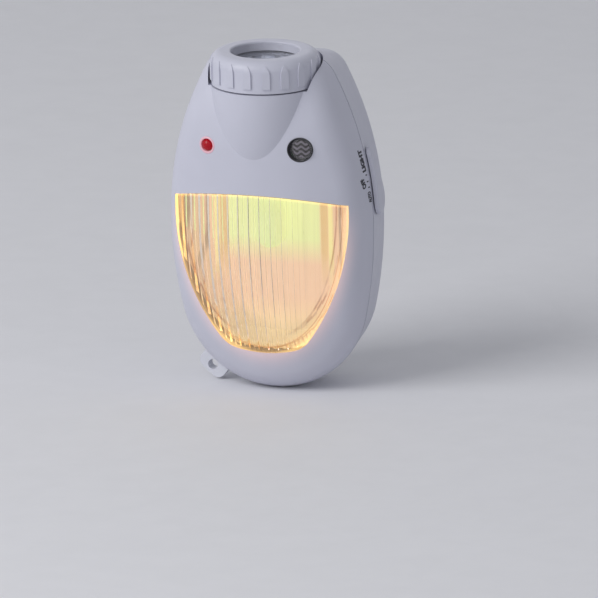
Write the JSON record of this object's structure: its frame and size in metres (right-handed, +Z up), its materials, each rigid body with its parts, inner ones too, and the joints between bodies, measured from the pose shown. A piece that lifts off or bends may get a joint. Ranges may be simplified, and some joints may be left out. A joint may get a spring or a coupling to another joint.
{
  "type": "plug-in night light",
  "caption": "Egg-shaped plug-in night light and hand torch with a fluted glowing lens, screw-off torch bezel, slide switch, strap lug and fold-away two-blade plug.",
  "frame": {"origin": "middle of the two plug blades in the plane of the case's flat back", "axes": "+Z up with the torch head at the top, +Y along the unfolded blades into the socket, +X to the right as seen from the room"},
  "size_m": [0.0676, 0.0587, 0.1092],
  "materials": {
    "case": "fine matte moulded ABS, pale lavender grey",
    "lens": "clear acrylic with upright flutes on its inner face",
    "reflector_white": "white moulded tray",
    "lamp_glass": "clear glass bulb",
    "red_lens": "clear red moulded dome",
    "smoked": "smoked clear disc",
    "sensor": "ceramic cell with a folded track",
    "clear": "clear acrylic disc",
    "seal": "black rubber",
    "chromed": "bright vacuum-plated plastic",
    "nickel": "nickel-plated brass",
    "steel": "bright steel",
    "copper": "spring bronze",
    "board": "green laminate",
    "film_blue": "dipped epoxy",
    "can": "black sleeve",
    "cell": "green shrink sleeve",
    "dark": "black moulded plastic",
    "lug": "natural translucent plastic"
  },
  "bodies": {
    "housing": {"front_shell": "case", "rear_shell": "case", "night_light_lens": "lens", "lamp_reflector": "reflector_white", "night_lamp": "lamp_glass", "lamp_socket": "reflector_white", "charge_lamp": "red_lens", "light_sensor_window": "smoked", "light_sensor_cell": "sensor", "torch_barrel": "case", "torch_reflector": "chromed", "torch_bulb": "lamp_glass", "torch_bulb_cap": "nickel", "bulb_holder": "dark", "plug_pin": "steel", "contact_springs": "copper", "circuit_board": "board", "film_capacitor": "film_blue", "filter_capacitor": "can", "battery_cells": "cell", "battery_straps": "nickel", "slide_switch": "dark", "strap_lug": "lug", "case_screws": "steel"},
    "window": {"torch_window": "clear", "window_seal": "seal"},
    "bezel": {"bezel_ring": "case"},
    "switch": {"switch_knob": "case"},
    "plug": {"plug_blades": "nickel", "plug_drum": "dark"}
  },
  "joints": [
    {"name": "window_lift", "type": "slide", "parent": "housing", "child": "window", "axis": [0, 0, 1], "range_m": [0, 0.0041]},
    {"name": "bezel_turn", "type": "hinge", "parent": "window", "child": "bezel", "pos_m": [0, -0.0244, 0.075], "axis": [0, 0, 1], "range_deg": [0, 720]},
    {"name": "switch_slide", "type": "slide", "parent": "housing", "child": "switch", "axis": [-0.1333, 0, 0.9911], "range_m": [-0.003, 0.003]},
    {"name": "plug_fold", "type": "hinge", "parent": "housing", "child": "plug", "pos_m": [0, -0.0036, 0], "axis": [1, 0, 0], "range_deg": [0, 90]}
  ],
  "couplings": [
    {"joint": "window_lift", "follows": "bezel_turn", "m_per_rad": 0.00031831}
  ]
}
